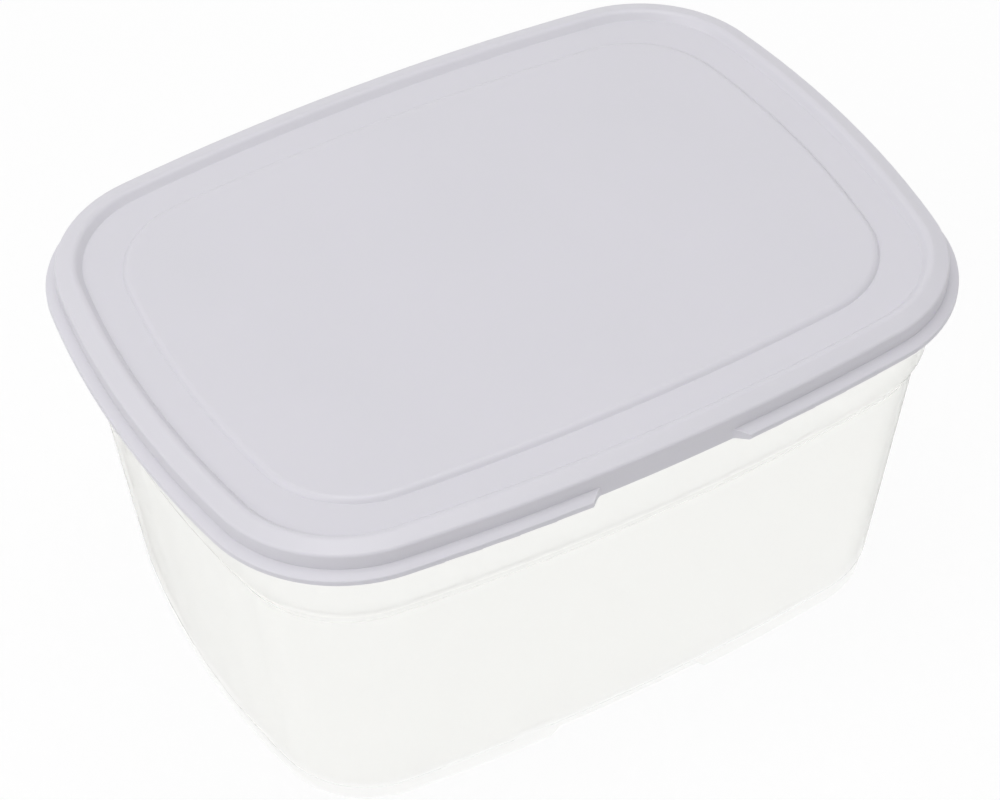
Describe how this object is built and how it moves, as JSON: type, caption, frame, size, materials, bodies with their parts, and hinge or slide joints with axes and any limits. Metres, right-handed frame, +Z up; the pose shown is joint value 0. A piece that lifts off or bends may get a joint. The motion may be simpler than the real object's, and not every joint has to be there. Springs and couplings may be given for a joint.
{
  "type": "food storage container",
  "caption": "Rounded rectangular storage tub of translucent plastic with a collar below its rim and a foot ring, closed by a press-on lid with a flange and a raised panel.",
  "frame": {"origin": "middle of the foot, on the surface the tub stands on", "axes": "+X along the long sides, +Z up; the long side at -Y is the front"},
  "size_m": [0.2002, 0.1504, 0.1012],
  "materials": {
    "tub_plastic": "satin, milky translucent",
    "lid_plastic": "satin, pale grey lavender"
  },
  "bodies": {
    "root": {"tub": "tub_plastic", "lid": "lid_plastic"}
  },
  "joints": []
}
